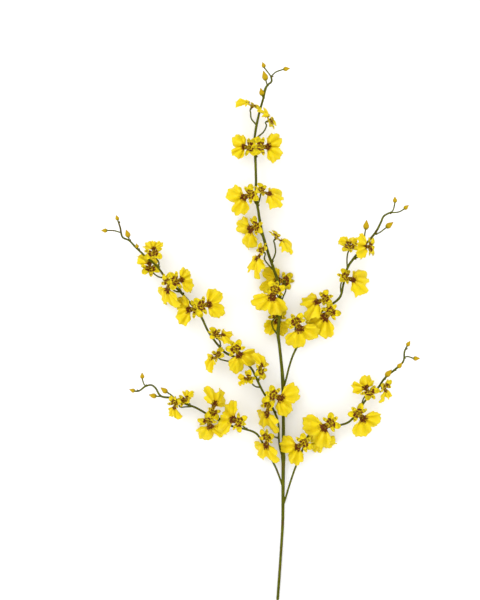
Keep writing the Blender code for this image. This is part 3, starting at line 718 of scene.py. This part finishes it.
def bloom_tree(settings):
    """Shape tree of a bloom: a ruffled lip, tepals and callus bumps on marked points, and the column."""
    g = ShapeGraph("Oncidium bloom", settings)
    lip, blade = ruffled_lip(g), tepal_blade(g)
    bump = g.node("GeometryNodeMeshIcoSphere", {"Radius": 1.0, "Subdivisions": 2})
    bumps = g.material(g.aimed(g.only(BUMP), bump), "Heart")
    return g.end(g.join(lip, tepals(g, blade), bumps, column(g)))


def ruffled_lip(g):
    """The lip's sheet with fine ruffles towards its edge, given its thickness."""
    rim = g.split(g.named("place", "FLOAT_VECTOR"))[2]
    turn, often, phase = g.named("turn"), g.given("Ruffles"), g.given("Phase")
    ruffles = g.math("SINE", g.math("MULTIPLY_ADD", turn, often, phase))
    finer = g.math("SINE", g.minus(g.times(g.times(turn, often), 1.83), phase))
    swing = g.plus(ruffles, g.times(finer, 0.55))
    share = g.math("POWER", g.math("MAXIMUM", rim, 0.0), 2.6)
    height = g.times(g.times(swing, share), g.given("Ruffle Height"))
    sheet = g.moved(g.only(LIP), g.vector(0.0, 0.0, height))
    return g.material(g.thicken(crumpled(g, sheet)), "Lip")


def tepal_blade(g):
    """A unit tepal along +x: narrow at its base, round at its end, cupped and a little waved."""
    grid = g.node("GeometryNodeMeshGrid", {"Size X": 1.0, "Size Y": 1.0, "Vertices X": 15, "Vertices Y": 9})
    x, y, _ = g.split(g.spot())
    along, aside = g.plus(x, 0.5), g.times(y, 2.0)
    # Half width: an oval round the end, and a straight neck to the base
    middle, reach, roundness = BLADE_END
    off = g.math("ABSOLUTE", g.math("DIVIDE", g.minus(along, middle), reach))
    oval = g.math("SQRT", g.math("MAXIMUM", g.minus(1.0, g.math("POWER", off, roundness)), 0.0))
    neck = g.times(g.minus(1.0, along), BLADE_NECK)
    half = g.math("MAXIMUM", g.math("MAXIMUM", oval, neck), BLADE_LEAST)
    wide = g.times(g.times(aside, half), 0.5)
    cup = g.times(g.math("POWER", aside, 2.0), g.times(g.given("Cupping"), half))
    wave = g.times(g.math("SINE", g.math("MULTIPLY_ADD", along, 9.0, g.given("Phase"))), aside)
    bend = g.times(g.math("SINE", g.times(along, 2.5)), BLADE_BEND)
    height = g.plus(g.plus(cup, bend), g.times(wave, BLADE_WAVE))
    stored = g.store(grid, "place", g.vector(along, aside, 0.0))
    return g.placed(stored, g.vector(along, wide, g.times(height, BLADE_DEPTH)))


def tepals(g, blade):
    """A blade on each marked point, turned about the heart, sized and dented, and then thickened."""
    turned = g.node("FunctionNodeEulerToRotation", {0: g.vector(0.0, g.named("tilt"), g.named("turn"))})
    real = g.node("GeometryNodeRealizeInstances", {"Geometry": g.copies(g.only(TEPAL), blade, turned)})
    along, aside, _ = g.split(g.named("place", "FLOAT_VECTOR"))
    stored = g.store(real, "place", g.vector(along, aside, g.named("sepal")))
    return g.material(g.thicken(crumpled(g, stored)), "Tepal")


def crumpled(g, sheet):
    """A sheet with small uneven dents, different in every bloom."""
    spot = g.node("ShaderNodeVectorMath", {0: g.spot(), 1: g.vector(g.given("Phase"))})
    terms = {"Vector": spot, "Scale": DENT_SCALE, "Detail": 2.0}
    dents = g.minus(g.node("ShaderNodeTexNoise", terms), 0.5)
    return g.moved(sheet, g.vector(0.0, 0.0, g.times(dents, DENT_DEPTH)))


def column(g):
    """The short column that leans over the lip's root, and the round base of the heart."""
    ball = g.node("GeometryNodeMeshUVSphere", {"Segments": 18, "Rings": 12, "Radius": COLUMN_RADIUS})
    x, y, z = g.split(g.spot())
    high = g.times(g.times(z, g.given("Column Length")), COLUMN_STRETCH)
    lean = g.plus(x, g.times(high, COLUMN_LEAN))
    flare = g.step(z, 0.0, 0.0012, 1.0, COLUMN_FLARE)
    rod = g.placed(ball, g.vector(lean, g.times(y, flare), g.plus(high, COLUMN_LIFT)))
    base = g.node("GeometryNodeMeshUVSphere", {"Segments": 18, "Rings": 12, "Radius": HEART_RADIUS})
    x, y, z = g.split(g.spot())
    base = g.placed(base, g.vector(x, y, g.times(z, HEART_FLATNESS)))
    return g.material(g.join(rod, base), "Heart")


def bloom_sketch(length, opened, phase, sizes):
    """Sketch of one bloom about its heart."""
    sketch = Sketch(
        role=LIP, place=(0.0, 0.0, 0.0), turn=0.0, fold=0.0, tilt=0.0, sepal=0.0,
        size=(1.0, 1.0, 1.0), aim=(0.0, 0.0, 1.0),
    )
    add_lip(sketch, length, opened, phase, sizes)
    add_tepals(sketch, opened, phase)
    for x, y, radius in CALLUS:
        sketch.add((x * length, y * length, BUMP_LIFT), role=BUMP, size=(radius, radius, radius * 0.9))
    return sketch


def opening(closed, opened):
    """A share that grows from a closed bloom's to 1 as the bloom opens."""
    return closed + (1 - closed) * opened


def waved(turn, phase, waves):
    """1 and the waves' height at this turn from the lip's axis."""
    return sum((share * math.sin(often * turn + shift * phase) for share, often, shift in waves), 1)


def lip_reach(aside, turn, phase):
    """How far the lip's edge is from its middle, as a share of its length."""
    angles, shares = zip(*LIP_REACH)
    reach = float(np.interp(abs(aside) * LIP_SPREAD, angles, shares))
    uneven = UNEVEN_LOBES * math.sin(phase * 2.1) * math.sin(turn)
    return reach * (waved(turn, phase, LOBES) + uneven) * waved(turn, phase, SCALLOPS)


def add_lip(sketch, length, opened, phase, sizes):
    """The lip's sheet, in rows from the heart outwards."""
    rows, wide = sizes.lip_rows, sizes.lip_columns
    spread = LIP_SPREAD * opening(CLOSED_SPREAD, opened)
    for row in range(rows):
        share = row / (rows - 1)
        neck = min(1.0, share / NECK_ROWS)
        fan = max(0.0, (share - NECK_ROWS) / (1 - NECK_ROWS))
        ease = fan * (1 - 0.18 * math.sin(math.pi * fan))
        middle = LIP_ROOT[0] + (LIP_NECK[0] - LIP_ROOT[0]) * neck
        half = LIP_ROOT[1] + (LIP_NECK[1] - LIP_ROOT[1]) * neck
        for k in range(wide):
            aside = 2 * k / (wide - 1) - 1
            turn = math.radians(aside * spread)
            reach = lip_reach(aside, turn, phase)
            x = middle + (LIP_CENTRE + reach * math.cos(turn) - middle) * ease
            y = half * aside + (reach * math.sin(turn) - half * aside) * ease
            away = math.hypot(x, y)
            # Droop and waves, soft folds that run out from the waist, and a swell beside the notch
            z = -LIP_DROOP * away * away * fan * length
            z += WAVE_HEIGHT * opened * fan * math.sin(WAVES * turn + phase)
            fold = math.sin(math.pi * (0.9 * fan)) * math.sin(FOLDS * turn + 1.3 * phase)
            z += FOLD_HEIGHT * opened * fold
            z += SWELL_HEIGHT * opened * math.sin(math.pi * min(1.0, fan * 1.05)) * abs(math.sin(turn))
            sketch.add((x * length, y * length, z), place=(x, y, fan), turn=turn, fold=fold)
    sketch.faces = [
        (i * wide + k, (i + 1) * wide + k, (i + 1) * wide + k + 1, i * wide + k + 1)
        for i in range(rows - 1) for k in range(wide - 1)
    ]


def add_tepals(sketch, opened, phase):
    """A marked point for each tepal. Those of a half-open bloom are shorter and steeper."""
    scale = opening(CLOSED_SCALE, opened) * MM
    steeper = 1 if opened > 0.8 else 2.4
    for number, (heading, long, across, sepal) in enumerate(TEPALS):
        sway = TEPAL_SWAY * math.sin(phase + 1.7 * number)
        rise = (TEPAL_RISE + RISE_CHANGE * math.cos(phase + number)) * steeper
        sketch.add(
            (0.0, 0.0, -0.0003 + 0.0002 * sepal), role=TEPAL, sepal=sepal,
            turn=math.radians(heading * opening(CLOSED_HEADING, opened) + sway),
            tilt=-math.atan2(rise * 0.75, long * scale),
            size=(long * scale * 1.03, across * scale, across * scale),
        )


def rest_on_table(mesh):
    """Bends up smoothly what would sink into the table."""
    spots = np.empty(len(mesh.vertices) * 3, dtype=np.float32)
    mesh.vertices.foreach_get("co", spots)
    high = spots[2::3]
    spots[2::3] = 0.5 * (high + np.sqrt(high * high + TABLE_EASE * TABLE_EASE))
    mesh.vertices.foreach_set("co", spots)


# Settings, operators and panel


def number_setting(name, description, default, least, most, **more):
    return FloatProperty(name=name, description=description, default=default, min=least, max=most, **more)


def length_setting(name, description, default, least, most):
    return number_setting(name, description, default, least, most, subtype="DISTANCE", unit="LENGTH")


def power_setting(name, description, default):
    return number_setting(name, description, default, 0.0, 500.0, subtype="POWER", unit="POWER")


def count_setting(name, description, default, least, most):
    return IntProperty(name=name, description=description, default=default, min=least, max=most)


def colour_setting(name, description, default):
    return FloatVectorProperty(name=name, description=description, default=default, min=0.0, max=1.0,
                               size=3, subtype="COLOR")


class ORCHID_PG_sizes(bpy.types.PropertyGroup):
    """Sizes that shape the blooms and stems."""

    petal_thickness: length_setting("Petal Thickness", "Thickness of lips and tepals", 0.0004, 0.0001, 0.002)
    ruffle_height: length_setting("Ruffle Height", "Height of the ruffles at a lip's edge", 0.002, 0.0, 0.004)
    ruffles: number_setting("Ruffles", "How closely the ruffles follow each other", 9.0, 1.0, 30.0)
    cupping: number_setting("Cupping", "How far the sides of a tepal rise", 0.9, 0.0, 3.0)
    stem_grain: length_setting("Stem Grain", "Height of the lumps on the stems", 0.00025, 0.0, 0.001)
    stem_fullness: length_setting("Stem Fullness", "What the stems gain in radius", 0.00036, 0.0, 0.001)
    stem_sides: count_setting("Stem Sides", "Faces round a stem", 12, 6, 32)
    lip_rows: count_setting("Lip Rows", "Rows of points from a lip's root to its edge", 28, 6, 60)
    lip_columns: count_setting("Lip Columns", "Points across a lip", 89, 9, 99)


class ORCHID_PG_colours(bpy.types.PropertyGroup):
    """Colours of petals, stems and buds."""

    petal: colour_setting("Petal", "Main yellow of lips and tepals", (0.745, 0.585, 0.003))
    # Pale yellow at the lips' edges, and painted highlight on the ridges of the lip's folds
    petal_pale_and_highlight: colour_setting("Petal Light", "Pale yellow at the edges", (0.80, 0.685, 0.036))
    petal_gold: colour_setting("Petal Gold", "Deeper yellow in patches", (0.71, 0.515, 0.003))
    # Olive of the tepals, heart and buds, and painted shade in the lip's folds and round its waist
    petal_olive_and_shade: colour_setting("Petal Olive", "Olive yellow of folds and tepals", (0.425, 0.335, 0.003))
    blotch: colour_setting("Blotch", "Red-brown of blotches and bars", (0.112, 0.027, 0.001))
    blotch_edge: colour_setting("Blotch Edge", "Orange-brown round blotches and bars", (0.36, 0.16, 0.004))
    stem: colour_setting("Stem", "Dark olive of the stems", (0.056, 0.060, 0.001))
    stem_light: colour_setting("Stem Light", "Lighter olive streaks", (0.118, 0.128, 0.002))
    stem_brown: colour_setting("Stem Brown", "Brown patches on stems and bracts", (0.085, 0.040, 0.004))
    bud: colour_setting("Bud", "Ochre of the closed buds", (0.45, 0.26, 0.005))


class ORCHID_PG_stage(bpy.types.PropertyGroup):
    """Floor, light and camera."""

    floor_size: length_setting("Floor Size", "Side of the square floor", 6.0, 1.0, 20.0)
    key_power: power_setting("Key Light", "Power of the large soft light", 17.0)
    fill_power: power_setting("Fill Light", "Power of each side light", 9.0)
    sky: number_setting("Sky", "Strength of the even white surroundings", 1.15, 0.0, 5.0)
    lens: number_setting("Lens", "Focal length of the camera in millimetres", 100.0, 20.0, 300.0)


class ORCHID_OT_stems(bpy.types.Operator):
    """Make the main stem and the side branches with their stalks, buds and bracts"""

    bl_idname = "orchid.stems"
    bl_label = "Stems and Buds"

    def execute(self, context):
        sizes, colours = context.scene.orchid_sizes, context.scene.orchid_colours
        graph = stem_tree({
            "Sides": sizes.stem_sides, "Step": ROD_STEP, "Grain": sizes.stem_grain,
            "Stem": stem_finish(colours), "Bud": bud_finish(colours), "Bract": bract_finish(colours),
        })
        for name in STEMS:
            mesh = graph.shape(name, stem_sketch(name, sizes.stem_fullness))
            finished(name + "_grown", mesh, name)
        return {"FINISHED"}


class ORCHID_OT_blooms(bpy.types.Operator):
    """Make every bloom with its ruffled lip, tepals and column"""

    bl_idname = "orchid.blooms"
    bl_label = "Blooms"

    def execute(self, context):
        sizes, colours = context.scene.orchid_sizes, context.scene.orchid_colours
        graph = bloom_tree({
            "Thickness": sizes.petal_thickness, "Ruffle Height": sizes.ruffle_height,
            "Ruffles": sizes.ruffles, "Phase": 0.0, "Cupping": sizes.cupping, "Column Length": COLUMN_LENGTH,
            "Lip": lip_finish(colours), "Tepal": tepal_finish(colours), "Heart": heart_finish(colours),
        })
        for stem, rows in BLOOMS.items():
            for number, row in enumerate(rows, 1):
                # main_stem has bloom_main_1, right_upper_branch has bloom_right_upper_1
                self.make(f"bloom_{stem.rsplit('_', 1)[0]}_{number}", Bloom(*row), graph, sizes)
        return {"FINISHED"}

    def make(self, name, bloom, graph, sizes):
        """Shapes one bloom about its heart, then seats and turns it."""
        # A number from its place shifts the waves, folds and dents of each bloom
        phase = 0.9 * (bloom.across % 7) + 0.37 * (bloom.down % 5)
        sketch = bloom_sketch(bloom.steps * STEP, bloom.opened, phase, sizes)
        mesh = graph.shape(name, sketch, Phase=phase)
        seat = place(bloom.across, bloom.down, bloom.height)
        mesh.transform(Matrix.Translation(seat) @ turning(bloom))
        rest_on_table(mesh)
        finished(name + "_petals", mesh, name)


class ORCHID_OT_stage(bpy.types.Operator):
    """Make the pale floor, the soft lights and the camera above"""

    bl_idname = "orchid.stage"
    bl_label = "Stage"

    def execute(self, context):
        stage = context.scene.orchid_stage
        add_floor(stage.floor_size / 2)
        for name, spot, size, power in LIGHTS:
            add_soft_light(name, spot, size, getattr(stage, power))
        world = bpy.data.worlds.new("white_room")
        world.use_nodes = True
        backdrop = world.node_tree.nodes["Background"]
        backdrop.inputs["Color"].default_value = (1.0, 1.0, 1.0, 1.0)
        backdrop.inputs["Strength"].default_value = stage.sky
        context.scene.world = world
        context.scene.view_settings.view_transform = "Standard"
        add_camera(stage.lens)
        return {"FINISHED"}


def add_floor(half):
    mesh = bpy.data.meshes.new("floor")
    corners = [(-half, -half, 0), (half, -half, 0), (half, half, 0), (-half, half, 0)]
    mesh.from_pydata(corners, [], [(0, 1, 2, 3)])
    floor = bpy.data.objects.new("floor", mesh)
    bpy.context.scene.collection.objects.link(floor)
    finish = FinishGraph("floor_white")
    finish.feed(finish.shader["Base Color"], (*[FLOOR_WHITE] * 3, 1.0))
    finish.feed(finish.shader["Roughness"], FLOOR_ROUGHNESS)
    mesh.materials.append(finish.made)


def add_soft_light(name, spot, size, power):
    lamp = bpy.data.lights.new(name, "AREA")
    lamp.energy, lamp.size = power, size
    light = bpy.data.objects.new(name, lamp)
    light.location = spot
    light.rotation_euler = (-Vector(spot)).to_track_quat("-Z", "Y").to_euler()
    bpy.context.scene.collection.objects.link(light)


def add_camera(lens):
    """A camera that looks straight down, centred where the photograph is."""
    data = bpy.data.cameras.new("camera")
    data.lens, data.sensor_width = lens, SENSOR_WIDTH
    camera = bpy.data.objects.new("camera", data)
    above = PICTURE_TALL * STEP * lens / SENSOR_WIDTH
    camera.location = place(*PICTURE_MIDDLE) + Vector((0, 0, above))
    bpy.context.scene.collection.objects.link(camera)
    bpy.context.scene.camera = camera


class ORCHID_PT_panel(bpy.types.Panel):
    """Buttons and settings of the orchid spray"""

    bl_idname = "ORCHID_PT_panel"
    bl_label = "Oncidium Spray"
    bl_space_type = "VIEW_3D"
    bl_region_type = "UI"
    bl_category = "Orchid"

    def draw(self, context):
        layout = self.layout
        for operator in (ORCHID_OT_stems, ORCHID_OT_blooms, ORCHID_OT_stage):
            layout.operator(operator.bl_idname)
        for group in (context.scene.orchid_sizes, context.scene.orchid_colours, context.scene.orchid_stage):
            box = layout.box()
            for key in group.__annotations__:
                box.prop(group, key)


CLASSES = (
    ORCHID_PG_sizes, ORCHID_PG_colours, ORCHID_PG_stage,
    ORCHID_OT_stems, ORCHID_OT_blooms, ORCHID_OT_stage, ORCHID_PT_panel,
)


def register():
    for each in CLASSES:
        bpy.utils.register_class(each)
    bpy.types.Scene.orchid_sizes = PointerProperty(type=ORCHID_PG_sizes)
    bpy.types.Scene.orchid_colours = PointerProperty(type=ORCHID_PG_colours)
    bpy.types.Scene.orchid_stage = PointerProperty(type=ORCHID_PG_stage)


def unregister():
    for key in ("orchid_sizes", "orchid_colours", "orchid_stage"):
        delattr(bpy.types.Scene, key)
    for each in reversed(CLASSES):
        bpy.utils.unregister_class(each)


def main():
    register()
    bpy.ops.orchid.stems()
    bpy.ops.orchid.blooms()
    bpy.ops.orchid.stage()


if __name__ == "__main__":
    main()
